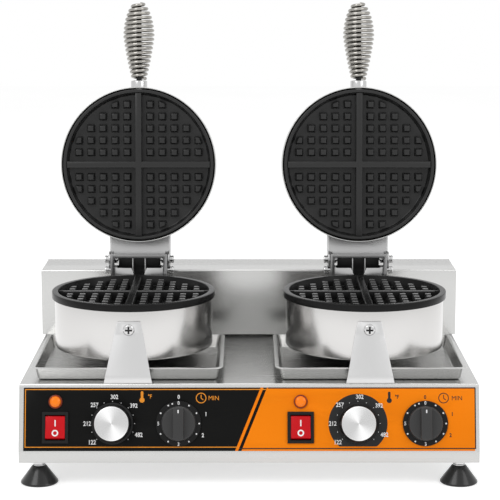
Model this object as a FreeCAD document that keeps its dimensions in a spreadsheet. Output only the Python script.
"""Double round waffle maker, counter-top model: two lidded pans on one steel base.

Lengths are millimetres and angles degrees. X is right, Y is back, Z is up, and the feet stand on Z = 0.
Each lid is drawn open, leaning back on its stops.
"""
import FreeCAD
import Part
import Sketcher
import math
import os
from types import SimpleNamespace

V = FreeCAD.Vector

# Driving sizes: alias, value
SIZES = [
    # Base cabinet
    ("base_width", 540.0),
    ("base_depth", 338.0),
    ("base_height", 90.5),
    ("base_sheet", 1.5),
    ("bend_radius", 2.0),
    ("lip_height", 4.0),
    ("panel_drop", 73.0),
    ("panel_lean", 19.0),
    ("foot_gap", 28.5),
    ("origin_back", 154.5),
    # Control panel and what sits on it, measured down the slope from the lip
    ("panel_sheet", 1.0),
    ("panel_margin_side", 5.5),
    ("panel_margin_end", 0.8),
    ("knob_down", 42.6),
    ("lamp_down", 17.1),
    ("switch_down", 47.3),
    ("left_switch_x", -227.2),
    ("left_thermostat_x", -160.2),
    ("left_timer_x", -82.7),
    ("right_switch_x", 60.4),
    ("right_thermostat_x", 127.5),
    ("right_timer_x", 206.4),
    # Rear electrical box
    ("rear_width", 544.0),
    ("rear_start", 258.0),
    ("rear_height", 89.0),
    ("rear_sheet", 1.5),
    ("seam_gap", 2.5),
    ("cover_sheet", 1.2),
    ("cover_screw_radius", 3.7),
    ("cover_screw_inset", 12.0),
    ("gland_wall", 2.0),
    ("gland_flange", 5.0),
    ("gland_length", 10.0),
    ("gland_flange_length", 4.0),
    ("block_width", 84.0),
    ("block_start", 20.0),
    ("block_depth", 24.0),
    ("block_height", 20.0),
    ("block_pitch", 14.0),
    ("block_screw_radius", 4.0),
    ("block_screw_depth", 10.0),
    # Feet
    ("foot_side_inset", 22.0),
    ("foot_inset", 17.0),
    ("foot_radius", 22.5),
    ("foot_neck_radius", 8.0),
    ("foot_cone_height", 21.5),
    ("stud_radius", 4.0),
    ("stud_height", 16.0),
    # Pans
    ("pan_x", 142.5),
    ("pan_back", 124.4),
    ("pan_radius", 97.0),
    ("pan_bottom", 20.0),
    ("pan_sheet", 1.5),
    ("ring_radius", 100.2),
    ("ring_height", 8.5),
    ("parting_height", 89.0),
    ("closing_gap", 0.4),
    # Waffle plates
    ("recess_radius", 93.0),
    ("recess_depth", 13.0),
    ("recess_draft", 2.5),
    ("plate_floor", 6.0),
    ("divider_width", 8.2),
    ("cross_bar_width", 3.6),
    ("cross_bar_drop", 1.8),
    ("cross_fit", 0.02),
    ("stud_pitch_x", 15.56),
    ("stud_pitch_y", 15.4),
    ("stud_first_x", 14.9),
    ("stud_first_y", 16.0),
    ("stud_base", 10.4),
    ("stud_top", 6.7),
    ("stud_rise", 10.5),
    ("stud_circle", 85.3),
    # Lids
    ("lid_radius", 100.0),
    ("lid_depth", 45.0),
    ("lid_sheet", 1.2),
    ("lid_edge_radius", 6.0),
    ("lid_plate_radius", 97.0),
    ("open_angle", 96.5),
    # Heaters and insulation
    ("heater_loop_radius", 55.0),
    ("heater_tube_radius", 3.3),
    ("heater_gap", 0.3),
    ("heater_leg", 6.0),
    ("insulation_thickness", 14.0),
    ("insulation_clearance", 6.0),
    # Hinges
    ("pivot_back", 247.4),
    ("pivot_height", 105.0),
    ("pivot_bolt_radius", 3.0),
    ("pivot_fit", 0.05),
    ("bolt_head_radius", 5.0),
    ("bolt_head_length", 5.6),
    ("cheek_half", 36.5),
    ("cheek_sheet", 3.0),
    ("bracket_front", 15.0),
    ("bracket_top", 9.0),
    ("bracket_bottom", 74.0),
    ("frame_bar", 5.0),
    ("arm_half", 39.5),
    ("arm_sheet", 2.5),
    ("arm_web_rise", 12.0),
    ("arm_tongue", 66.0),
    ("arm_top", 38.0),
    ("ear_radius", 10.0),
    ("stop_drop", 14.0),
    ("stop_radius", 3.5),
    ("stop_gap", 0.15),
    ("side_gap", 0.5),
    ("guide_plate_height", 12.5),
    ("guide_plate_sheet", 1.2),
    ("guide_notch_half", 10.0),
    ("trough_half", 8.6),
    ("trough_rise", 4.0),
    # Handles
    ("handle_rod_radius", 3.5),
    ("collar_radius", 10.5),
    ("collar_length", 9.0),
    ("coil_length", 102.2),
    ("coil_turns", 17.2),
    ("coil_wire", 4.6),
    ("coil_widest_at", 56.0),
    ("coil_foot_radius", 9.4),
    ("coil_max_radius", 20.4),
    ("coil_tip_reach", 46.2),
    # Drip trays
    ("tray_inner_x", 30.7),
    ("tray_width", 227.2),
    ("tray_front", 10.5),
    ("tray_depth", 189.0),
    ("tray_height", 16.0),
    ("tray_rim", 5.0),
    ("tray_wall_draft", 3.5),
    ("tray_sheet", 1.0),
    ("tray_corner", 8.0),
    ("tray_lift", 0.2),
    # Front supports
    ("support_foot_width", 57.0),
    ("support_top_width", 28.0),
    ("support_height", 69.0),
    ("support_sheet", 2.0),
    ("support_kick", 10.0),
    ("support_front", 2.0),
    ("support_tab", 17.0),
    ("support_gap", 0.3),
    ("truss_head_radius", 7.0),
    ("truss_head_height", 3.0),
    ("truss_shank_radius", 2.5),
    ("truss_shank_length", 12.0),
    ("truss_nut_radius", 4.5),
    ("truss_nut_height", 4.0),
    # Controls
    ("skirt_radius", 24.5),
    ("skirt_height", 3.0),
    ("knob_radius", 21.6),
    ("knob_height", 17.0),
    ("cap_radius", 20.0),
    ("cap_height", 1.6),
    ("knob_lift", 0.5),
    ("shaft_radius", 3.0),
    ("shaft_fit", 0.05),
    ("shaft_length", 14.0),
    ("timer_dial_radius", 26.5),
    ("timer_dial_height", 1.6),
    ("timer_knob_radius", 19.7),
    ("timer_knob_height", 9.0),
    ("timer_grip_width", 12.6),
    ("timer_grip_height", 17.0),
    ("thermostat_body_radius", 21.0),
    ("thermostat_body_depth", 22.0),
    ("timer_body_width", 44.0),
    ("timer_body_depth", 26.0),
    ("neck_radius", 5.0),
    ("bezel_width", 31.0),
    ("bezel_height", 37.0),
    ("bezel_rise", 2.4),
    ("bezel_wall", 3.6),
    ("switch_body_depth", 24.0),
    ("rocker_gap", 0.35),
    ("rocker_tilt", 9.0),
    ("rocker_pin_radius", 1.5),
    ("rocker_pin_depth", 4.0),
    ("rocker_flush", 1.8),
    ("lamp_radius", 6.7),
    ("lamp_bezel_radius", 8.2),
    ("lamp_body_depth", 20.0),
    ("hole_fit", 0.1),
    ("opening_fit", 0.3),
    ("spindle_fit", 0.2),
    ("rest_gap", 0.2),
    ("well_wall", 0.6),
    ("foot_web", 6.0),
    ("mount_spread", 18.0),
    ("mount_down", 40.0),
]
BLOCK_WAYS = 6
HEATER_SWEEP = 340


class Size:
    """A number together with the expression that ties it to the sheet."""

    def __init__(self, value, text):
        self.value = float(value)
        self.text = text

    def _with(self, other, sign, value):
        return Size(value, "(" + self.text + " " + sign + " " + other.text + ")")

    def __add__(self, other):
        other = sized(other)
        return self._with(other, "+", self.value + other.value)

    def __sub__(self, other):
        other = sized(other)
        return self._with(other, "-", self.value - other.value)

    def __mul__(self, other):
        other = sized(other)
        return self._with(other, "*", self.value * other.value)

    def __truediv__(self, other):
        other = sized(other)
        return self._with(other, "/", self.value / other.value)

    def __radd__(self, other):
        return sized(other) + self

    def __rsub__(self, other):
        return sized(other) - self

    def __rmul__(self, other):
        return sized(other) * self

    def __neg__(self):
        return Size(-self.value, "(0 - " + self.text + ")")


def sized(number):
    """A plain number as a Size."""
    if isinstance(number, Size):
        return number
    return Size(number, repr(float(number)))


def root(size):
    return Size(math.sqrt(size.value), "sqrt(" + size.text + ")")


def cosine(angle):
    return Size(math.cos(math.radians(angle.value)), "cos(" + angle.text + ")")


def sine(angle):
    return Size(math.sin(math.radians(angle.value)), "sin(" + angle.text + ")")


def slope_angle(rise, run):
    """The angle in degrees whose tangent is rise / run."""
    degrees = math.degrees(math.atan(rise.value / run.value))
    return Size(degrees, "(atan(" + rise.text + " / " + run.text + ") / 1 deg)")


doc = FreeCAD.newDocument("WaffleMaker")
sheet = doc.addObject("Spreadsheet::Sheet", "Sizes")
for row, (alias, number) in enumerate(SIZES, start=1):
    sheet.set("A%d" % row, alias)
    sheet.set("B%d" % row, str(number))
    sheet.setAlias("B%d" % row, alias)
doc.recompute()
S = SimpleNamespace(**{alias: Size(number, "Sizes." + alias) for alias, number in SIZES})

# Places worked out from the driving sizes
base_top = S.foot_gap + S.base_height
front_y = -S.origin_back
panel_angle = slope_angle(S.panel_lean, S.panel_drop)
panel_length = root(S.panel_drop * S.panel_drop + S.panel_lean * S.panel_lean)
pan_y = front_y + S.pan_back
pivot_y = front_y + S.pivot_back
pivot_z = base_top + S.pivot_height
pan_to_pivot = S.pivot_back - S.pan_back
lid_drop = S.pivot_height - S.parting_height - S.closing_gap
lid_turn_y = pivot_y - pan_to_pivot * cosine(S.open_angle) - lid_drop * sine(S.open_angle)
lid_turn_z = pivot_z + pan_to_pivot * sine(S.open_angle) - lid_drop * cosine(S.open_angle)
rear_y = front_y + S.rear_start
foot_x = S.base_width / 2 - S.foot_side_inset
foot_places = (S.foot_inset - S.panel_lean, S.base_depth - S.foot_inset)
UNITS = [("left", -1), ("right", 1)]

finished = {}


def bind(thing, name, size):
    """Ties one property of an object to an expression."""
    thing.setExpression(name, sized(size).text)


def keep(node, thing):
    """Registers a finished sub-part under its node name."""
    thing.Label = node
    finished[node] = thing
    return thing


def new_body(name):
    return doc.addObject("PartDesign::Body", name)


def place(thing, x, y, z, axis=None, angle=None):
    """Puts a sub-part where it belongs, turned by angle about axis."""
    if axis is not None:
        thing.Placement = FreeCAD.Placement(V(0, 0, 0), FreeCAD.Rotation(V(*axis), 10))
        bind(thing, "Placement.Rotation.Angle", angle)
    bind(thing, "Placement.Base.x", x)
    bind(thing, "Placement.Base.y", y)
    bind(thing, "Placement.Base.z", z)


def sketch_on(body, role, lift=None, shift=None, tilt=None):
    """An empty sketch on an origin plane, lifted along its normal, shifted up its own Y or tilted about its X."""
    plane = next(p for p in body.Origin.OriginFeatures if p.Role == role)
    sketch = body.newObject("Sketcher::SketchObject", body.Name + "_sketch")
    sketch.AttachmentSupport = (plane, "")
    sketch.MapMode = "FlatFace"
    if tilt is not None:
        sketch.AttachmentOffset = FreeCAD.Placement(V(0, 0, 0), FreeCAD.Rotation(V(-1, 0, 0), 10))
        bind(sketch, "AttachmentOffset.Rotation.Angle", tilt)
    if lift is not None:
        bind(sketch, "AttachmentOffset.Base.z", lift)
    if shift is not None:
        bind(sketch, "AttachmentOffset.Base.y", shift)
    return sketch


def pin_point(sketch, index, end, x, y):
    """Fixes one sketch point at bound coordinates."""
    for kind, size in (("DistanceX", sized(x)), ("DistanceY", sized(y))):
        number = sketch.addConstraint(Sketcher.Constraint(kind, -1, 1, index, end, size.value))
        sketch.setExpression("Constraints[%d]" % number, size.text)


def outline(sketch, points):
    """A closed polygon with every corner bound to the sheet."""
    corners = [(sized(x), sized(y)) for x, y in points]
    first = sketch.GeometryCount
    total = len(corners)
    for i, (x, y) in enumerate(corners):
        next_x, next_y = corners[(i + 1) % total]
        start = V(x.value, y.value, 0)
        end = V(next_x.value, next_y.value, 0)
        sketch.addGeometry(Part.LineSegment(start, end), False)
    for i in range(total):
        after = first + (i + 1) % total
        sketch.addConstraint(Sketcher.Constraint("Coincident", first + i, 2, after, 1))
    for i, (x, y) in enumerate(corners):
        pin_point(sketch, first + i, 1, x, y)


def rectangle(sketch, x_low, x_high, y_low, y_high):
    outline(sketch, [(x_low, y_low), (x_high, y_low), (x_high, y_high), (x_low, y_high)])


def circle(sketch, x, y, radius):
    x = sized(x)
    y = sized(y)
    radius = sized(radius)
    index = sketch.addGeometry(Part.Circle(V(x.value, y.value, 0), V(0, 0, 1), radius.value), False)
    pin_point(sketch, index, 3, x, y)
    number = sketch.addConstraint(Sketcher.Constraint("Radius", index, radius.value))
    sketch.setExpression("Constraints[%d]" % number, radius.text)


def pad(body, sketch, length, midplane=False, backwards=False):
    feature = body.newObject("PartDesign::Pad", body.Name + "_pad")
    feature.Profile = sketch
    feature.Midplane = midplane
    feature.Reversed = backwards
    bind(feature, "Length", length)
    return feature


def pocket(body, sketch, length, midplane=False, backwards=False):
    feature = body.newObject("PartDesign::Pocket", body.Name + "_pocket")
    feature.Profile = sketch
    feature.Midplane = midplane
    feature.Reversed = backwards
    bind(feature, "Length", length)
    return feature


def spun(body, points):
    """A solid of revolution about the body's Z axis, from corners given as radius and height."""
    sketch = sketch_on(body, "XZ_Plane")
    outline(sketch, points)
    feature = body.newObject("PartDesign::Revolution", body.Name + "_spin")
    feature.Profile = sketch
    feature.ReferenceAxis = (sketch, ["V_Axis"])
    feature.Angle = 360
    return feature


def soften(body, radius, wanted):
    """Rounds the edges of the body so far that the test picks."""
    doc.recompute()
    tip = body.Tip
    names = []
    for i, edge in enumerate(tip.Shape.Edges, start=1):
        if wanted(edge):
            names.append("Edge%d" % i)
    feature = body.newObject("PartDesign::Fillet", body.Name + "_round")
    feature.Base = (tip, names)
    bind(feature, "Radius", radius)
    return feature


def edge_at(edge):
    return edge.valueAt((edge.FirstParameter + edge.LastParameter) / 2)


def near(number, target):
    return abs(number - target) < 0.05


def ring_points(inner, outer, low, high):
    return [(inner, low), (outer, low), (outer, high), (inner, high)]


# Base cabinet: a folded sheet open below, with a leaning front
def panel_hole_sketch(body):
    """A sketch in the plane of the leaning front: X across, Y up the slope, zero at the top lip."""
    return sketch_on(body, "XZ_Plane", lift=0, shift=-S.lip_height, tilt=panel_angle)


CONTROLS = [
    (S.left_switch_x, S.left_thermostat_x, S.left_timer_x),
    (S.right_switch_x, S.right_thermostat_x, S.right_timer_x),
]
bezel_body_half_width = S.bezel_width / 2 - S.bezel_wall + S.well_wall
bezel_body_half_height = S.bezel_height / 2 - S.bezel_wall + S.well_wall


def cut_panel_holes(body, depth):
    """The openings that the switches, lamps and spindles pass through."""
    sketch = panel_hole_sketch(body)
    for switch_x, thermostat_x, timer_x in CONTROLS:
        rectangle(
            sketch,
            switch_x - bezel_body_half_width - S.opening_fit,
            switch_x + bezel_body_half_width + S.opening_fit,
            -S.switch_down - bezel_body_half_height - S.opening_fit,
            -S.switch_down + bezel_body_half_height + S.opening_fit,
        )
        circle(sketch, switch_x, -S.lamp_down, S.lamp_radius - 0.6)
        circle(sketch, thermostat_x, -S.knob_down, S.neck_radius + S.spindle_fit)
        circle(sketch, timer_x, -S.knob_down, S.neck_radius + S.spindle_fit)
    pocket(body, sketch, depth, midplane=True)


def make_base():
    body = new_body("BaseHousing")
    sketch = sketch_on(body, "YZ_Plane")
    outline(sketch, [
        (0, 0),
        (0, -S.lip_height),
        (-S.panel_lean, -S.lip_height - S.panel_drop),
        (-S.panel_lean, -S.base_height),
        (S.base_depth, -S.base_height),
        (S.base_depth, 0),
    ])
    pad(body, sketch, S.base_width, midplane=True)
    soften(body, S.bend_radius, lambda e: near(edge_at(e).z, 0) and edge_at(e).y < S.base_depth.value - 1)
    inner = sketch_on(body, "YZ_Plane")
    wall = S.base_sheet
    outline(inner, [
        (wall, -wall),
        (wall, -S.lip_height - 0.2),
        (wall - S.panel_lean, -S.lip_height - S.panel_drop - 0.2),
        (wall - S.panel_lean, -S.base_height - 1),
        (S.base_depth - wall, -S.base_height - 1),
        (S.base_depth - wall, -wall),
    ])
    pocket(body, inner, S.base_width - 2 * wall, midplane=True)
    cut_panel_holes(body, 8)
    place(body, 0, front_y, base_top)
    keep("base_housing", body)

    plate = new_body("BottomPlate")
    sketch = sketch_on(plate, "XY_Plane")
    gap = wall + S.opening_fit
    half = S.base_width / 2 - gap
    rectangle(sketch, -half, half, gap - S.panel_lean, S.base_depth - gap)
    for x in (-foot_x, foot_x):
        for y in foot_places:
            circle(sketch, x, y, S.stud_radius + S.hole_fit)
    pad(plate, sketch, wall)
    place(plate, 0, front_y, S.foot_gap)
    keep("base_bottom_plate", plate)


def make_control_panel():
    body = new_body("ControlPanel")
    sketch = panel_hole_sketch(body)
    half = S.base_width / 2 - S.panel_margin_side
    rectangle(sketch, -half, half, S.panel_margin_end - panel_length, -S.panel_margin_end)
    pad(body, sketch, S.panel_sheet)
    cut_panel_holes(body, 8)
    place(body, 0, front_y, base_top)
    keep("control_panel", body)


# Rear electrical box: a folded cover across the back, closed by a flat plate
def make_rear_box():
    body = new_body("RearHousing")
    depth = S.base_depth - S.rear_start
    half = S.rear_width / 2
    wall = S.rear_sheet
    sketch = sketch_on(body, "XY_Plane", lift=S.seam_gap)
    rectangle(sketch, -half, half, 0, depth)
    pad(body, sketch, S.rear_height - S.seam_gap)
    top = S.rear_height.value
    soften(body, S.bend_radius, lambda e: near(edge_at(e).z, top) and edge_at(e).y < depth.value - 1)
    inner = sketch_on(body, "XY_Plane")
    rectangle(inner, wall - half, half - wall, wall, depth + 1)
    pocket(body, inner, S.rear_height - wall, backwards=True)
    place(body, 0, rear_y, base_top)
    keep("rear_housing", body)

    cover = new_body("RearCover")
    sketch = sketch_on(cover, "XZ_Plane")
    rectangle(sketch, -half, half, S.seam_gap, S.rear_height)
    for x in (-S.pan_x, S.pan_x):
        circle(sketch, x, S.rear_height / 2, S.neck_radius + S.gland_wall + S.hole_fit)
    pad(cover, sketch, S.cover_sheet, backwards=True)
    place(cover, 0, front_y + S.base_depth, base_top)
    keep("rear_cover", cover)

    screws = new_body("CoverScrews")
    sketch = sketch_on(screws, "XZ_Plane")
    screws.AllowCompound = True
    inset = S.cover_screw_inset
    for x in (inset - half, sized(0), half - inset):
        for z in (S.seam_gap + inset * 0.75, S.rear_height - inset * 0.75):
            circle(sketch, x, z, S.cover_screw_radius)
    pad(screws, sketch, S.truss_head_height - 1, backwards=True)
    place(screws, 0, front_y + S.base_depth + S.cover_sheet, base_top)
    keep("rear_cover_screws", screws)

    glands = new_body("CableGlands")
    glands.AllowCompound = True
    sketch = sketch_on(glands, "XZ_Plane")
    for x in (-S.pan_x, S.pan_x):
        circle(sketch, x, S.rear_height / 2, S.neck_radius + S.gland_wall)
        circle(sketch, x, S.rear_height / 2, S.neck_radius - 0.5)
    pad(glands, sketch, S.cover_sheet + S.gland_length, midplane=True)
    flange = sketch_on(glands, "XZ_Plane", lift=-S.cover_sheet)
    for x in (-S.pan_x, S.pan_x):
        circle(flange, x, S.rear_height / 2, S.neck_radius + S.gland_flange)
        circle(flange, x, S.rear_height / 2, S.neck_radius - 0.5)
    pad(glands, flange, S.gland_flange_length, backwards=True)
    place(glands, 0, front_y + S.base_depth, base_top)
    keep("cable_glands", glands)

    block = new_body("TerminalBlock")
    sketch = sketch_on(block, "XY_Plane")
    half = S.block_width / 2
    middle = S.block_start + S.block_depth / 2
    rectangle(sketch, -half, half, S.block_start, S.block_start + S.block_depth)
    pad(block, sketch, S.block_height)
    slots = sketch_on(block, "XY_Plane", lift=S.block_height + 2)
    for i in range(BLOCK_WAYS):
        circle(slots, (i - BLOCK_WAYS / 2 + 0.5) * S.block_pitch, middle, S.block_screw_radius)
    pocket(block, slots, S.block_screw_depth + 2)
    place(block, 0, rear_y, base_top + S.rest_gap)
    keep("terminal_block", block)


# Feet: rubber cones on threaded studs
def make_feet():
    feet = doc.addObject("Part::MultiFuse", "RubberFeet")
    cones = []
    studs = []
    places = []
    for x in (-foot_x, foot_x):
        for y in foot_places:
            places.append((x, y))
    for x, y in places:
        cone = doc.addObject("Part::Cone", "FootCone")
        bind(cone, "Radius1", S.foot_radius)
        bind(cone, "Radius2", S.foot_neck_radius)
        bind(cone, "Height", S.foot_cone_height)
        place(cone, x, front_y + y, 0)
        bore = doc.addObject("Part::Cylinder", "FootBore")
        bind(bore, "Radius", S.stud_radius)
        bind(bore, "Height", S.foot_cone_height - S.foot_web)
        place(bore, x, front_y + y, S.foot_web)
        foot = doc.addObject("Part::Cut", "Foot")
        foot.Base = cone
        foot.Tool = bore
        cones.append(foot)
        neck = doc.addObject("Part::Cylinder", "FootStud")
        bind(neck, "Radius", S.stud_radius)
        bind(neck, "Height", S.foot_gap + S.stud_height - S.foot_web)
        place(neck, x, front_y + y, S.foot_web)
        nut = doc.addObject("Part::Prism", "FootNut")
        nut.Polygon = 6
        bind(nut, "Circumradius", S.foot_neck_radius)
        bind(nut, "Height", S.foot_gap - S.foot_cone_height)
        place(nut, x, front_y + y, S.foot_cone_height)
        stud = doc.addObject("Part::Fuse", "Stud")
        stud.Base = neck
        stud.Tool = nut
        studs.append(stud)
    feet.Shapes = cones
    keep("rubber_feet", feet)
    group = doc.addObject("Part::MultiFuse", "FootStuds")
    group.Shapes = studs
    keep("foot_studs", group)


# Waffle plates: a turned casting with a cross of dividers and a grid of drafted studs
def stud_grid_shape():
    """All studs of one plate, standing on Z = 0, the outer ones trimmed to a circle."""
    base = sheet.stud_base / 2
    tip = sheet.stud_top / 2
    sink = 0.5
    studs = []
    reach = int(sheet.stud_circle / min(sheet.stud_pitch_x, sheet.stud_pitch_y)) + 1
    for column in range(reach):
        for row in range(reach):
            x = sheet.stud_first_x + column * sheet.stud_pitch_x
            y = sheet.stud_first_y + row * sheet.stud_pitch_y
            if math.hypot(x, y) > sheet.stud_circle:
                continue
            for way_x in (-1, 1):
                for way_y in (-1, 1):
                    studs.append(tapered_stud(way_x * x, way_y * y, base, tip, sink))
    trim = Part.makeCylinder(sheet.stud_circle, sheet.stud_rise + 2 * sink, V(0, 0, -sink))
    return Part.makeCompound([stud.common(trim) for stud in studs])


def tapered_stud(x, y, base, tip, sink):
    flare = base + (base - tip) * sink / sheet.stud_rise
    wires = []
    for half, z in ((flare, -sink), (tip, sheet.stud_rise)):
        corners = [V(x - half, y - half, z), V(x + half, y - half, z)]
        corners += [V(x + half, y + half, z), V(x - half, y + half, z)]
        wires.append(Part.makePolygon(corners + corners[:1]))
    return Part.makeLoft(wires, True, True)


def make_waffle_plate(node, rim_radius, rim_height, body_radius, full_cross):
    """A plate face up, its rim's top at Z = 0. The cast body below the rim is body_radius wide.

    The one casting is drawn as three solids that touch: rim, floor with its studs, and cross.
    """
    floor_z = -S.recess_depth
    core = S.recess_radius - S.recess_draft
    rim = new_body("Rim_" + node)
    spun(rim, [
        (core, floor_z - S.plate_floor),
        (body_radius, floor_z - S.plate_floor),
        (body_radius, -rim_height),
        (rim_radius, -rim_height),
        (rim_radius, 0),
        (S.recess_radius, 0),
        (core, floor_z),
    ])
    floor = new_body("Floor_" + node)
    spun(floor, [
        (0, floor_z - S.plate_floor),
        (core, floor_z - S.plate_floor),
        (core, floor_z),
        (0, floor_z),
    ])
    studs = doc.addObject("Part::Feature", "Studs_" + node)
    studs.Shape = stud_grid_shape()
    bind(studs, "Placement.Base.z", floor_z)
    grid = doc.addObject("Part::MultiFuse", "Grid_" + node)
    grid.Shapes = [floor, studs]
    cross = make_cross(node, floor_z, core, full_cross)
    plate = doc.addObject("Part::Compound", "Plate_" + node)
    plate.Links = [rim, grid, cross]
    return keep(node, plate)


def make_cross(node, floor_z, core, full_cross):
    """The dividers that quarter a plate, trimmed to the drafted wall of its recess."""
    bars = new_body("Bars_" + node)
    half = S.divider_width / 2
    sketch = sketch_on(bars, "XY_Plane", lift=floor_z)
    rectangle(sketch, -half, half, -S.recess_radius, S.recess_radius)
    pad(bars, sketch, S.recess_depth)
    sketch = sketch_on(bars, "XY_Plane", lift=floor_z)
    if full_cross:
        rectangle(sketch, -S.recess_radius, S.recess_radius, -half, half)
        pad(bars, sketch, S.recess_depth)
    else:
        half_bar = S.cross_bar_width / 2
        rectangle(sketch, -S.recess_radius, S.recess_radius, -half_bar, half_bar)
        pad(bars, sketch, S.recess_depth - S.cross_bar_drop)
    well = doc.addObject("Part::Cone", "Well_" + node)
    bind(well, "Radius1", core - S.cross_fit)
    bind(well, "Radius2", S.recess_radius - S.cross_fit)
    bind(well, "Height", S.recess_depth)
    bind(well, "Placement.Base.z", floor_z)
    cross = doc.addObject("Part::MultiCommon", "Cross_" + node)
    cross.Shapes = [bars, well]
    return cross


def make_heater(node, casting_bottom):
    """A round heating element that hugs the underside of a plate, with two cold ends."""
    loop = doc.addObject("Part::Torus", "Loop_" + node)
    bind(loop, "Radius1", S.heater_loop_radius)
    bind(loop, "Radius2", S.heater_tube_radius)
    loop.Angle3 = HEATER_SWEEP
    low = casting_bottom - S.heater_gap - S.heater_tube_radius
    bind(loop, "Placement.Base.z", low)
    shapes = [loop]
    for turn in (0, HEATER_SWEEP):
        leg = doc.addObject("Part::Cylinder", "Leg_" + node)
        bind(leg, "Radius", S.heater_tube_radius)
        bind(leg, "Height", S.heater_leg)
        across = math.cos(math.radians(turn))
        back = math.sin(math.radians(turn))
        place(leg, across * S.heater_loop_radius, back * S.heater_loop_radius, low - S.heater_leg)
        shapes.append(leg)
    heater = doc.addObject("Part::MultiFuse", "Heater_" + node)
    heater.Shapes = shapes
    return keep(node, heater)


plate_bottom = -S.recess_depth - S.plate_floor


def put_pan_piece(thing, way):
    place(thing, way * S.pan_x, pan_y, base_top + S.parting_height)


def put_lid_piece(thing, way):
    """Lid pieces are drawn face down at the plate's centre, as when shut, then swung open."""
    place(thing, way * S.pan_x, lid_turn_y, lid_turn_z, axis=(-1, 0, 0), angle=S.open_angle)


def make_pan(side, way):
    name = side + "_lower_"
    wall = S.pan_sheet
    plate = make_waffle_plate(name + "plate", S.ring_radius, S.ring_height, S.pan_radius - wall - 0.5, False)
    put_pan_piece(plate, way)
    shell = new_body("Shell_" + name)
    deep = S.pan_bottom - S.parting_height
    brim = -S.ring_height
    spun(shell, [
        (0, deep),
        (S.pan_radius, deep),
        (S.pan_radius, brim),
        (S.pan_radius - wall, brim),
        (S.pan_radius - wall, deep + wall),
        (0, deep + wall),
    ])
    soften(shell, S.bend_radius, lambda e: near(edge_at(e).z, deep.value) and e.Length > 100)
    holes = sketch_on(shell, "XZ_Plane")
    for x, z, radius in mount_holes():
        circle(holes, x, z, radius)
    pocket(shell, holes, 2 * S.pan_radius)
    screw_hole = sketch_on(shell, "XZ_Plane")
    circle(screw_hole, 0, screw_height() - S.parting_height, S.truss_shank_radius + S.hole_fit)
    pocket(shell, screw_hole, 2 * S.pan_radius, backwards=True)
    put_pan_piece(shell, way)
    keep(name + "housing", shell)
    heater = make_heater(name + "heater", plate_bottom)
    put_pan_piece(heater, way)
    blanket = new_body("Blanket_" + name)
    low = deep + wall + S.rest_gap
    spun(blanket, ring_points(0, S.pan_radius - S.insulation_clearance, low, low + S.insulation_thickness))
    put_pan_piece(blanket, way)
    keep(name + "insulation", blanket)


def mount_holes():
    """Where two bolts hold the pan to its bracket: across, height from the parting plane, radius."""
    return [(way * S.mount_spread, -S.mount_down, S.pivot_bolt_radius + S.hole_fit) for way in (-1, 1)]


def screw_height():
    """Height of the front support's screw above the base top."""
    return S.support_height - S.support_tab / 2 - 1.5


def make_lid(side, way):
    name = side + "_upper_"
    wall = S.lid_sheet
    plate = make_waffle_plate(name + "plate", S.lid_plate_radius, S.ring_height, S.lid_plate_radius - 5, True)
    flip_lid_plate(plate, way)
    shell = new_body("Shell_" + name)
    brim = S.lid_sheet
    high = S.lid_depth
    spun(shell, [
        (0, high),
        (S.lid_radius, high),
        (S.lid_radius, brim),
        (S.lid_radius - wall, brim),
        (S.lid_radius - wall, high - wall),
        (0, high - wall),
    ])
    top = high.value
    soften(shell, S.lid_edge_radius, lambda e: near(edge_at(e).z, top) and e.Length > 100)
    doc.recompute()
    inside = top - wall.value
    soften(shell, S.lid_edge_radius - wall, lambda e: near(edge_at(e).z, inside) and e.Length > 100)
    rod_hole = sketch_on(shell, "XZ_Plane")
    circle(rod_hole, 0, S.lid_depth / 2, S.handle_rod_radius + S.hole_fit)
    pocket(shell, rod_hole, 2 * S.lid_radius, backwards=True)
    put_lid_piece(shell, way)
    keep(name + "housing", shell)
    heater = make_heater(name + "heater", plate_bottom)
    flip_lid_plate(heater, way)
    blanket = new_body("Blanket_" + name)
    top = high - wall - S.rest_gap - 0.1
    blanket_radius = S.lid_radius - S.insulation_clearance - S.lid_edge_radius
    spun(blanket, ring_points(0, blanket_radius, top - S.insulation_thickness, top))
    put_lid_piece(blanket, way)
    keep(name + "insulation", blanket)


def flip_lid_plate(thing, way):
    """A plate or heater drawn face up, hung face down in the lid: half a turn more about X."""
    place(thing, way * S.pan_x, lid_turn_y, lid_turn_z, axis=(1, 0, 0), angle=180 - S.open_angle)


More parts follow.
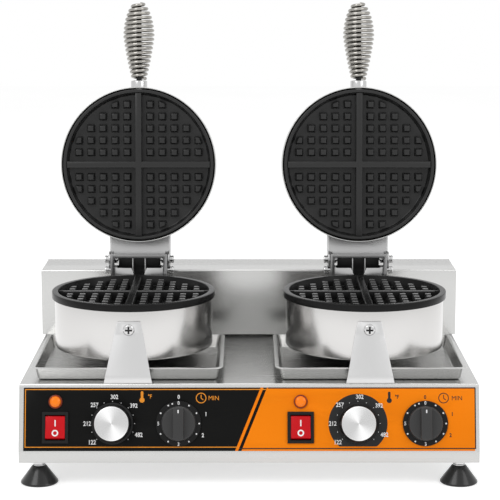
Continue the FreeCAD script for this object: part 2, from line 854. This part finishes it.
# Hinges: a folded bracket behind each pan carries a channel-shaped arm on two bolts
def make_bracket(side, way):
    body = new_body("Bracket_" + side)
    back = S.rear_start - S.pivot_back
    front = -S.bracket_front
    wall = S.cheek_sheet
    box_top = S.rear_height - S.pivot_height - 1
    sketch = sketch_on(body, "YZ_Plane")
    outline(sketch, [
        (front, -S.bracket_bottom),
        (back, -S.bracket_bottom),
        (back, box_top),
        (S.ear_radius - 2, 1 - S.ear_radius),
        (S.ear_radius - 2, S.ear_radius - 5),
        (S.ear_radius - 4, S.bracket_top),
        (front, S.bracket_top),
    ])
    pad(body, sketch, 2 * S.cheek_half, midplane=True)
    inner = sketch_on(body, "XY_Plane", lift=S.bracket_top + 1)
    half = S.cheek_half - wall
    rectangle(inner, -half, half, 2 - S.bracket_front, back - 2.5)
    pocket(body, inner, S.bracket_top + S.bracket_bottom + 2)
    window = sketch_on(body, "XZ_Plane", lift=S.bracket_front + 1)
    reach = S.cheek_half - S.frame_bar
    rectangle(window, -reach, reach, -S.pivot_height + S.parting_height - 10, S.bracket_top - S.frame_bar)
    for x, z, radius in mount_holes():
        circle(window, x, z - S.pivot_height + S.parting_height, radius)
    pocket(body, window, 4)
    holes = sketch_on(body, "YZ_Plane")
    circle(holes, 0, 0, S.pivot_bolt_radius + S.pivot_fit)
    circle(holes, 0, -S.stop_drop, S.stop_radius - 0.9)
    pocket(body, holes, 2 * S.arm_half + 4, midplane=True)
    place(body, way * S.pan_x, pivot_y, pivot_z)
    keep(side + "_hinge_bracket", body)

    guide = new_body("Guide_" + side)
    sketch = sketch_on(guide, "XZ_Plane", lift=S.bracket_front - 3.4)
    wall = S.guide_plate_sheet
    low = S.parting_height - S.pivot_height - 5 * wall
    sill = low + S.guide_plate_height
    reach = S.cheek_half - S.cheek_sheet - 2
    notch = S.guide_notch_half
    outline(sketch, [
        (-reach, low - notch * 0.8),
        (reach, low - notch * 0.8),
        (reach, sill),
        (notch, sill),
        (notch * 0.6, low + 2),
        (-notch * 0.6, low + 2),
        (-notch, sill),
        (-reach, sill),
    ])
    pad(guide, sketch, wall)
    trough = sketch_on(guide, "XZ_Plane", lift=S.bracket_front - 3.4)
    outer = S.trough_half
    outline(trough, [
        (-outer, low - 1),
        (outer, low - 1),
        (outer, S.trough_rise),
        (outer - wall, S.trough_rise),
        (outer - wall, low - 1 + wall),
        (wall - outer, low - 1 + wall),
        (wall - outer, S.trough_rise),
        (-outer, S.trough_rise),
    ])
    pad(guide, trough, back + S.bracket_front - 6.2, backwards=True)
    place(guide, way * S.pan_x, pivot_y, pivot_z)
    keep(side + "_cable_guide", guide)


def hinge_bolt(name, shank, head_start, collar):
    """A hinge bolt along X from inside one cheek, head outwards, drawn for the right-hand cheek."""
    body = new_body(name)
    sketch = sketch_on(body, "YZ_Plane", lift=S.cheek_half - S.cheek_sheet - 6)
    circle(sketch, 0, 0, shank)
    pad(body, sketch, head_start - S.cheek_half + S.cheek_sheet + 6.5)
    nut = sketch_on(body, "YZ_Plane", lift=S.cheek_half - S.cheek_sheet - 5)
    circle(nut, 0, 0, S.bolt_head_radius)
    pad(body, nut, 4.9)
    head = sketch_on(body, "YZ_Plane", lift=head_start)
    circle(head, 0, 0, S.bolt_head_radius)
    pad(body, head, S.bolt_head_length)
    outer = head_start.value + sheet.bolt_head_length
    soften(body, S.bolt_head_radius / 3, lambda e: near(edge_at(e).x, outer))
    if collar:
        sleeve = sketch_on(body, "YZ_Plane", lift=S.cheek_half)
        circle(sleeve, 0, 0, S.stop_radius)
        pad(body, sleeve, head_start - S.cheek_half)
    return body


def make_hinge_bolts(side, way):
    shapes = []
    head_start = S.arm_half + S.hole_fit
    for drop, shank, collar in ((sized(0), S.pivot_bolt_radius, False), (S.stop_drop, S.stop_radius - 1, True)):
        for turn in (0, 180):
            bolt = hinge_bolt("Bolt_" + side, shank, head_start, collar)
            bolt.Placement = FreeCAD.Placement(V(0, 0, 0), FreeCAD.Rotation(V(0, 0, 1), turn))
            bind(bolt, "Placement.Base.x", way * S.pan_x)
            bind(bolt, "Placement.Base.y", pivot_y)
            bind(bolt, "Placement.Base.z", pivot_z - drop)
            shapes.append(bolt)
    group = doc.addObject("Part::MultiFuse", "HingeBolts_" + side)
    group.Shapes = shapes
    keep(side + "_hinge_bolts", group)


def make_arm(side, way):
    """The channel that joins a lid to its pivot, drawn with the lid shut and zero at the pivot."""
    body = new_body("Arm_" + side)
    lid_edge = S.lid_radius - pan_to_pivot
    tongue_low = S.lid_depth - lid_drop + S.shaft_fit
    tongue_high = tongue_low + S.arm_sheet
    web = S.arm_web_rise
    heel = S.stop_drop * 0.12 + S.stop_radius + S.stop_gap
    sketch = sketch_on(body, "YZ_Plane")
    outline(sketch, [
        (lid_edge - S.arm_tongue, tongue_low),
        (lid_edge - S.arm_tongue, tongue_high),
        (lid_edge - S.arm_tongue + 20, tongue_high),
        (lid_edge - S.arm_tongue + 34, S.arm_top),
        (S.ear_radius - 2, S.arm_top),
        (S.ear_radius + 3, heel),
        (0, heel),
        (-S.ear_radius, 0),
        (-S.ear_radius, web),
        (lid_edge - 12, web),
        (lid_edge - 12, tongue_low),
    ])
    pad(body, sketch, 2 * S.arm_half, midplane=True)
    ear = sketch_on(body, "YZ_Plane")
    circle(ear, 0, 0, S.ear_radius)
    pad(body, ear, 2 * S.arm_half, midplane=True)
    inner = sketch_on(body, "YZ_Plane")
    outline(inner, [
        (lid_edge - S.arm_tongue - 5, tongue_high),
        (lid_edge + 1.5, tongue_high),
        (lid_edge + 1.5, web + S.arm_sheet),
        (2, web + S.arm_sheet),
        (2, web),
        (lid_edge + 3, web),
        (lid_edge + 3, -S.ear_radius - 2),
        (S.ear_radius + 9, -S.ear_radius - 2),
        (S.ear_radius + 9, S.arm_top + 5),
        (lid_edge - S.arm_tongue - 5, S.arm_top + 5),
    ])
    pocket(body, inner, 2 * (S.arm_half - S.arm_sheet), midplane=True)
    lid_hollow = sketch_on(body, "XY_Plane", lift=S.lid_depth - lid_drop + S.shaft_fit)
    circle(lid_hollow, 0, -pan_to_pivot, S.lid_radius + S.shaft_fit)
    pocket(body, lid_hollow, S.lid_depth)
    hole = sketch_on(body, "YZ_Plane")
    circle(hole, 0, 0, S.pivot_bolt_radius + S.pivot_fit)
    pocket(body, hole, 2 * S.arm_half + 4, midplane=True)
    place(body, way * S.pan_x, pivot_y, pivot_z, axis=(-1, 0, 0), angle=S.open_angle)
    keep(side + "_hinge_arm", body)


def make_pan_mounts():
    """Bolts, spacers and nuts that hold both pans to their brackets."""
    solids = []
    for _, way in UNITS:
        for across in (-sheet.mount_spread, sheet.mount_spread):
            solids += pan_mount(way, across)
    feature = doc.addObject("Part::Feature", "PanMounts")
    feature.Shape = Part.makeCompound(solids)
    keep("pan_mounts", feature)


def pan_mount(way, across):
    """One bolt through the pan wall and the bracket front, its shaped spacer and its nut."""
    x = way * sheet.pan_x + across
    y = pan_y.value
    z = base_top.value + sheet.parting_height - sheet.mount_down
    back = V(0, 1, 0)
    radius = sheet.pivot_bolt_radius
    plate_front = pivot_y.value - sheet.bracket_front
    wall_back = y + math.sqrt(sheet.pan_radius ** 2 - sheet.mount_spread ** 2)
    wall_front = wall_back - sheet.pan_sheet
    start = wall_front - 4.2
    shank = Part.makeCylinder(radius, plate_front + 2 + 6 - start, V(x, start, z), back)
    head = Part.makeCylinder(sheet.bolt_head_radius, 3, V(x, start - 2.5, z), back)
    bolt = head.fuse(shank).removeSplitter()
    spacer = Part.makeCylinder(6, plate_front - wall_back + 3, V(x, wall_back - 3, z), back)
    centre = V(way * sheet.pan_x, y, z - 10)
    spacer = spacer.cut(Part.makeCylinder(sheet.pan_radius + 0.03, 20, centre))
    spacer = spacer.cut(Part.makeCylinder(radius + sheet.hole_fit, 40, V(x, start, z), back))
    nut = Part.makeCylinder(sheet.bolt_head_radius, 4, V(x, plate_front + 2.05, z), back)
    nut = nut.cut(Part.makeCylinder(radius, 40, V(x, start, z), back))
    return [bolt, spacer, nut]


# Handles: a rod with a seat collar and a barrel-shaped coil of wire
def make_handle(side, way):
    collar = new_body("HandleRod_" + side)
    end = S.lid_radius + S.collar_length + S.coil_length
    sketch = sketch_on(collar, "XZ_Plane")
    circle(sketch, 0, 0, S.handle_rod_radius)
    pad(collar, sketch, end - 6)
    seat = sketch_on(collar, "XZ_Plane", lift=S.lid_radius - 1)
    circle(seat, 0, 0, S.collar_radius)
    pad(collar, seat, S.collar_length + 0.8)
    inside = sketch_on(collar, "XY_Plane", lift=-S.lid_depth)
    circle(inside, 0, 0, S.lid_radius + 0.02)
    pocket(collar, inside, 2 * S.lid_depth, backwards=True)
    thread = sketch_on(collar, "XZ_Plane", lift=S.lid_radius - S.lid_sheet - 9)
    circle(thread, 0, 0, S.handle_rod_radius)
    pad(collar, thread, S.lid_sheet + 12)
    nut = sketch_on(collar, "XZ_Plane", lift=S.lid_radius - S.lid_sheet - 6.5)
    circle(nut, 0, 0, 2 * S.handle_rod_radius)
    pad(collar, nut, 6)
    half = S.lid_depth / 2
    place(
        collar,
        way * S.pan_x,
        lid_turn_y + half * sine(S.open_angle),
        lid_turn_z + half * cosine(S.open_angle),
        axis=(-1, 0, 0),
        angle=S.open_angle,
    )
    keep(side + "_handle_rod", collar)


def coil_radius(along):
    """Radius of the wire's centre line, at a distance along the grip from its foot."""
    widest = sheet.coil_widest_at
    if along < widest:
        part = along / widest
        swell = part + 0.08 * math.sin(math.pi * part)
        outer = sheet.coil_foot_radius + (sheet.coil_max_radius - sheet.coil_foot_radius) * swell
    else:
        part = min(1.0, (along - widest) / sheet.coil_tip_reach)
        outer = sheet.coil_max_radius * math.sqrt(max(0.0, 1 - part * part))
    smallest = sheet.handle_rod_radius + sheet.coil_wire / 2 + 0.6
    return max(outer - sheet.coil_wire / 2, smallest)


def coil_point(turn):
    """A point of the wire's centre line after a number of turns, grip along -Y."""
    rise = sheet.coil_length - sheet.coil_wire - 0.8
    along = sheet.coil_wire / 2 + 0.4 + rise * turn / sheet.coil_turns
    radius = coil_radius(along)
    angle = 2 * math.pi * turn
    start = sheet.lid_radius + sheet.collar_length
    return V(radius * math.cos(angle), -start - along, radius * math.sin(angle))


def coil_tangent(turn):
    step = 0.001
    return (coil_point(turn + step) - coil_point(turn - step)).normalize()


def arc_between(start, tangent, end):
    """The arc that leaves start along tangent and reaches end."""
    chord = end - start
    length = chord.Length
    along = chord * (1 / length)
    side = tangent - along * tangent.dot(along)
    bulge = side * (1 / side.Length)
    angle = tangent.getAngle(along)
    middle = (start + end) * 0.5 + bulge * (length / 2 * math.tan(angle / 2))
    return Part.Arc(start, middle, end).toShape()


def biarc(p, tangent_p, q, tangent_q):
    """Two arcs that join p to q smoothly with the given tangents."""
    gap = q - p
    both = tangent_p + tangent_q
    slack = 2 * (1 - tangent_p.dot(tangent_q))
    dot = gap.dot(both)
    reach = (-dot + math.sqrt(dot * dot + slack * gap.dot(gap))) / slack
    joint = (p + q + (tangent_p - tangent_q) * reach) * 0.5
    first = arc_between(p, tangent_p, joint)
    back = arc_between(q, tangent_q * -1, joint)
    second = Part.Arc(joint, back.valueAt((back.FirstParameter + back.LastParameter) / 2), q).toShape()
    return [first, second]


def coil_shape():
    """The grip's wire as one tube on biarcs of a quarter turn."""
    edges = []
    per_turn = 4
    steps = int(round(sheet.coil_turns * per_turn))
    stops = [sheet.coil_turns * i / steps for i in range(steps + 1)]
    for before, after in zip(stops, stops[1:]):
        edges += biarc(coil_point(before), coil_tangent(before), coil_point(after), coil_tangent(after))
    spine = Part.Wire(edges)
    profile = Part.Wire(Part.Circle(coil_point(0), coil_tangent(0), sheet.coil_wire / 2).toShape())
    shell = Part.BRepOffsetAPI.MakePipeShell(spine)
    shell.add(profile)
    shell.build()
    shell.makeSolid()
    report_coil(spine, edges)
    return shell.shape()


def report_coil(spine, edges):
    """Prints the least gap between turns, the tightest arc and the length of the wire."""
    samples = 48
    steps = int(sheet.coil_turns * samples)
    points = [coil_point(i / samples) for i in range(steps)]
    least = 1e9
    for i, point in enumerate(points):
        for other in points[i + samples // 2:i + 2 * samples]:
            least = min(least, (point - other).Length)
    tightest = min(edge.Curve.Radius for edge in edges)
    print("coil: least gap to itself %.2f mm" % (least - sheet.coil_wire))
    print("coil: tightest arc %.2f mm, wire length %.0f mm" % (tightest, spine.Length))


def make_coil(side, way, shape):
    coil = doc.addObject("Part::Feature", "Coil_" + side)
    coil.Shape = shape.copy()
    half = S.lid_depth / 2
    place(
        coil,
        way * S.pan_x,
        lid_turn_y + half * sine(S.open_angle),
        lid_turn_z + half * cosine(S.open_angle),
        axis=(-1, 0, 0),
        angle=S.open_angle,
    )
    keep(side + "_handle_coil", coil)


# Drip trays: pressed pans with a flat rim, slid under from the ends
def make_tray(side, way):
    body = new_body("Tray_" + side)
    half_x = S.tray_width / 2
    half_y = S.tray_depth / 2
    high = S.tray_height
    corner = S.tray_corner

    def loft(inset_top, inset_bottom, low, top, kind):
        """A drafted block with rounded corners, added or taken away."""
        sections = []
        for z, inset in ((low, inset_bottom), (top, inset_top)):
            sketch = sketch_on(body, "XY_Plane", lift=z)
            rounded_box(sketch, half_x - inset, half_y - inset, corner)
            sections.append(sketch)
        feature = body.newObject(kind, body.Name + "_wall")
        feature.Profile = sections[0]
        feature.Sections = sections[1:]
        feature.Ruled = True

    draft = S.tray_wall_draft
    loft(S.tray_rim, S.tray_rim + draft, 0, high, "PartDesign::AdditiveLoft")
    rim = sketch_on(body, "XY_Plane", lift=high)
    rounded_box(rim, half_x, half_y, corner)
    pad(body, rim, S.tray_sheet, backwards=True)
    wall = S.tray_sheet
    loft(S.tray_rim + wall - 0.02, S.tray_rim + draft + wall - 0.02, wall, high + 0.01, "PartDesign::SubtractiveLoft")
    outer_x = way * (S.tray_inner_x + half_x)
    place(body, outer_x, front_y + S.tray_front + half_y, base_top + S.tray_lift)
    keep(side + "_drip_tray", body)


def rounded_box(sketch, half_x, half_y, corner):
    """A rectangle about the origin with cut corners bound to the sheet."""
    cut = corner * 0.42
    outline(sketch, [
        (-half_x + corner, -half_y),
        (half_x - corner, -half_y),
        (half_x - cut, -half_y + cut),
        (half_x, -half_y + corner),
        (half_x, half_y - corner),
        (half_x - cut, half_y - cut),
        (half_x - corner, half_y),
        (-half_x + corner, half_y),
        (-half_x + cut, half_y - cut),
        (-half_x, half_y - corner),
        (-half_x, -half_y + corner),
        (-half_x + cut, -half_y + cut),
    ])


# Front supports: a bent, tapered plate from the base to the pan
def make_support(side, way):
    body = new_body("Support_" + side)
    wall = S.support_sheet
    pan_front = S.pan_back - S.pan_radius - S.support_gap
    bend = S.support_height - S.support_tab
    front = S.support_front
    sketch = sketch_on(body, "YZ_Plane")
    outline(sketch, [
        (front, 0),
        (front + wall, 0),
        (front + wall, S.support_kick - 0.5),
        (pan_front, bend - 0.5),
        (pan_front, S.support_height),
        (pan_front - wall, S.support_height),
        (pan_front - wall, bend),
        (front, S.support_kick),
    ])
    pad(body, sketch, S.support_foot_width, midplane=True)
    foot = S.support_foot_width / 2
    head = S.support_top_width / 2
    for sign in (-1, 1):
        side_cut = sketch_on(body, "XZ_Plane")
        outline(side_cut, [
            (sign * foot, 0),
            (sign * head, S.support_height),
            (sign * head, S.support_height + 5),
            (sign * (foot + 5), S.support_height + 5),
            (sign * (foot + 5), 0),
        ])
        pocket(body, side_cut, pan_front + 10)
    hole = sketch_on(body, "XZ_Plane")
    circle(hole, 0, screw_height(), S.truss_shank_radius + S.hole_fit)
    pocket(body, hole, pan_front + 10)
    place(body, way * S.pan_x, front_y, base_top)
    keep(side + "_front_support", body)


def make_support_screws():
    """The cross-head screws that hold the front supports, each with its nut inside the pan."""
    screws = []
    for side, way in UNITS:
        body = new_body("SupportScrew_" + side)
        face = S.pan_back - S.pan_radius - S.support_gap - S.support_sheet
        spun(body, [
            (0, -S.truss_shank_length),
            (S.truss_shank_radius, -S.truss_shank_length),
            (S.truss_shank_radius, 0),
            (S.truss_head_radius, 0),
            (S.truss_head_radius, 0.8),
            (S.truss_head_radius * 0.8, S.truss_head_height * 0.75),
            (S.truss_head_radius * 0.45, S.truss_head_height),
            (0, S.truss_head_height),
        ])
        cross = sketch_on(body, "XY_Plane", lift=S.truss_head_height + 0.5)
        arm = S.truss_head_radius * 0.42
        slot = S.truss_head_radius * 0.12
        outline(cross, [
            (-slot, -arm), (slot, -arm), (slot, -slot), (arm, -slot), (arm, slot), (slot, slot),
            (slot, arm), (-slot, arm), (-slot, slot), (-arm, slot), (-arm, -slot), (-slot, -slot),
        ])
        pocket(body, cross, 2.2)
        place(body, way * S.pan_x, front_y + face, base_top + screw_height(), axis=(1, 0, 0), angle=90)
        nut = doc.addObject("Part::Cylinder", "ScrewNut")
        bind(nut, "Radius", S.truss_nut_radius)
        bind(nut, "Height", S.truss_nut_height)
        nut_y = front_y + face + S.support_sheet + S.support_gap + S.pan_sheet + S.truss_nut_height + 0.4
        place(nut, way * S.pan_x, nut_y, base_top + screw_height(), axis=(1, 0, 0), angle=90)
        screw = doc.addObject("Part::Fuse", "ScrewWithNut")
        screw.Base = body
        screw.Tool = nut
        screws.append(screw)
    group = doc.addObject("Part::MultiFuse", "SupportScrews")
    group.Shapes = screws
    keep("support_screws", group)


# Controls: drawn with the panel's outer face at Z = 0, then laid on the leaning front
def put_on_panel(thing, x, down):
    """Turns a piece so that its Z stands off the panel and its Y runs up the slope."""
    face = S.panel_sheet
    y = front_y - down * sine(panel_angle) - face * cosine(panel_angle)
    z = base_top - S.lip_height - down * cosine(panel_angle) + face * sine(panel_angle)
    place(thing, x, y, z, axis=(1, 0, 0), angle=90 - panel_angle)


def make_thermostat(side, x):
    body = new_body("ThermostatBody_" + side)
    inside = -S.panel_sheet - S.base_sheet - 0.7
    spun(body, [
        (0, inside - S.thermostat_body_depth),
        (S.thermostat_body_radius, inside - S.thermostat_body_depth),
        (S.thermostat_body_radius, inside),
        (S.neck_radius, inside),
        (S.neck_radius, 0.2),
        (S.shaft_radius, 0.2),
        (S.shaft_radius, S.shaft_length),
        (0, S.shaft_length),
    ])
    put_on_panel(body, x, S.knob_down)
    keep(side + "_thermostat_body", body)

    knob = new_body("ThermostatKnob_" + side)
    bore = S.shaft_radius + S.shaft_fit
    low = S.knob_lift
    spun(knob, [
        (bore, low),
        (S.skirt_radius - 1, low),
        (S.skirt_radius, low + 1),
        (S.skirt_radius, low + S.skirt_height - 1),
        (S.skirt_radius - 1, low + S.skirt_height),
        (S.knob_radius + 0.6, low + S.skirt_height),
        (S.knob_radius - 0.4, S.knob_height - 1),
        (S.knob_radius - 1.2, S.knob_height),
        (0, S.knob_height),
        (0, S.shaft_length + 0.3),
        (bore, S.shaft_length + 0.3),
    ])
    put_on_panel(knob, x, S.knob_down)
    keep(side + "_thermostat_knob", knob)

    cap = new_body("ThermostatCap_" + side)
    high = S.knob_height + S.cap_height
    spun(cap, [
        (0, S.knob_height),
        (S.cap_radius, S.knob_height),
        (S.cap_radius, high - 0.5),
        (S.cap_radius - 0.5, high),
        (0, high),
    ])
    put_on_panel(cap, x, S.knob_down)
    keep(side + "_thermostat_cap", cap)


def make_timer(side, x):
    body = new_body("TimerBody_" + side)
    inside = -S.panel_sheet - S.base_sheet - 0.7
    half = S.timer_body_width / 2
    block = sketch_on(body, "XY_Plane", lift=inside)
    rectangle(block, -half, half, -half + 3, half - 3)
    pad(body, block, S.timer_body_depth, backwards=True)
    neck = sketch_on(body, "XY_Plane", lift=inside - 1)
    circle(neck, 0, 0, S.neck_radius)
    pad(body, neck, 0.2 - inside + 1)
    shaft = sketch_on(body, "XY_Plane")
    circle(shaft, 0, 0, S.shaft_radius)
    pad(body, shaft, S.shaft_length)
    put_on_panel(body, x, S.knob_down)
    keep(side + "_timer_body", body)

    knob = new_body("TimerKnob_" + side)
    bore = S.shaft_radius + S.shaft_fit
    low = S.knob_lift
    dial = low + S.timer_dial_height
    spun(knob, [
        (bore, low),
        (S.timer_dial_radius, low),
        (S.timer_dial_radius, dial - 0.4),
        (S.timer_dial_radius - 0.6, dial),
        (S.timer_knob_radius + 0.8, dial),
        (S.timer_knob_radius, S.timer_knob_height - 1),
        (S.timer_knob_radius - 1, S.timer_knob_height),
        (bore, S.timer_knob_height),
    ])
    grip = sketch_on(knob, "XY_Plane", lift=S.timer_knob_height - 1)
    half = S.timer_grip_width / 2
    reach = S.timer_knob_radius - 0.9
    corner = root(reach * reach - half * half)
    outline(grip, [
        (-half, -corner), (-half / 2, -reach + 0.3), (half / 2, -reach + 0.3), (half, -corner),
        (half, corner), (half / 2, reach - 0.3), (-half / 2, reach - 0.3), (-half, corner),
    ])
    pad(knob, grip, S.timer_grip_height - S.timer_knob_height + 1)
    socket = sketch_on(knob, "XY_Plane")
    circle(socket, 0, 0, bore)
    pocket(knob, socket, S.shaft_length + 0.3, backwards=True)
    put_on_panel(knob, x, S.knob_down)
    keep(side + "_timer_knob", knob)


def make_switch(side, x):
    body = new_body("SwitchBody_" + side)
    half_x = S.bezel_width / 2
    half_y = S.bezel_height / 2
    sketch = sketch_on(body, "XY_Plane")
    rectangle(sketch, -half_x, half_x, -half_y, half_y)
    pad(body, sketch, S.bezel_rise)
    top = S.bezel_rise.value
    soften(body, S.bezel_rise / 3, lambda e: near(edge_at(e).z, top))
    block = sketch_on(body, "XY_Plane", lift=0.5)
    rectangle(
        block,
        -bezel_body_half_width, bezel_body_half_width, -bezel_body_half_height, bezel_body_half_height,
    )
    pad(body, block, S.switch_body_depth, backwards=True)
    well = sketch_on(body, "XY_Plane", lift=S.bezel_rise + 0.5)
    wall = S.bezel_wall
    rectangle(well, wall - half_x, half_x - wall, wall - half_y, half_y - wall)
    pocket(body, well, S.bezel_rise + 11.5)
    holes = sketch_on(body, "YZ_Plane")
    circle(holes, 0, -S.rocker_pin_depth, S.rocker_pin_radius + 0.05)
    pocket(body, holes, S.bezel_width - 2 * wall + 3, midplane=True)
    put_on_panel(body, x, S.switch_down)
    keep(side + "_switch_body", body)

    rocker = new_body("Rocker_" + side)
    gap = S.rocker_gap
    reach = half_y - wall - gap - 0.15
    deep = S.rocker_pin_depth
    flush = S.rocker_flush
    raised = reach * 0.845
    side_view = sketch_on(rocker, "YZ_Plane")
    outline(side_view, [
        (-reach, -deep - 1),
        (-reach / 2, -deep - 4.5),
        (reach / 2, -deep - 4.5),
        (reach, -deep - 1),
        (reach - 0.3, 3 - deep),
        (root(reach * reach - (deep + flush) * (deep + flush)) - 0.1, flush),
        (0, flush),
        (-raised, flush + raised * sine(S.rocker_tilt)),
        (0.3 - reach, 3 - deep),
    ])
    pad(rocker, side_view, S.bezel_width - 2 * wall - 2 * gap, midplane=True)
    pin = sketch_on(rocker, "YZ_Plane")
    circle(pin, 0, -deep, S.rocker_pin_radius)
    pad(rocker, pin, S.bezel_width - 2 * wall + 2.4, midplane=True)
    put_on_panel(rocker, x, S.switch_down)
    keep(side + "_rocker", rocker)


def make_lamp(side, x):
    body = new_body("Lamp_" + side)
    shank = S.lamp_radius - 0.8
    spun(body, [
        (0, -S.lamp_body_depth),
        (shank, -S.lamp_body_depth),
        (shank, 0),
        (S.lamp_bezel_radius, 0),
        (S.lamp_bezel_radius - 0.3, 1.6),
        (S.lamp_radius, 2.0),
        (S.lamp_radius * 0.85, 3.8),
        (S.lamp_radius * 0.5, 5.1),
        (0, 5.6),
    ])
    put_on_panel(body, x, S.lamp_down)
    keep(side + "_pilot_lamp", body)


make_base()
make_control_panel()
make_rear_box()
make_feet()
make_pan_mounts()
make_support_screws()
wire = coil_shape()
for (side, way), (switch_x, thermostat_x, timer_x) in zip(UNITS, CONTROLS):
    make_pan(side, way)
    make_lid(side, way)
    make_bracket(side, way)
    make_hinge_bolts(side, way)
    make_arm(side, way)
    make_handle(side, way)
    make_coil(side, way, wire)
    make_tray(side, way)
    make_support(side, way)
    make_thermostat(side, thermostat_x)
    make_timer(side, timer_x)
    make_switch(side, switch_x)
    make_lamp(side, switch_x)

doc.recompute()
for thing in doc.Objects:
    if "Invalid" in thing.State or "Error" in thing.State:
        raise RuntimeError("failed: " + thing.Label)

os.makedirs("parts", exist_ok=True)
whole = FreeCAD.BoundBox()
for node, thing in finished.items():
    shape = thing.Shape
    if shape.isNull() or not shape.isValid():
        raise RuntimeError("bad shape: " + node)
    shape.exportStep("parts/" + node + ".step")
    whole.add(shape.BoundBox)
print("%d sub-parts, box %s" % (len(finished), whole))
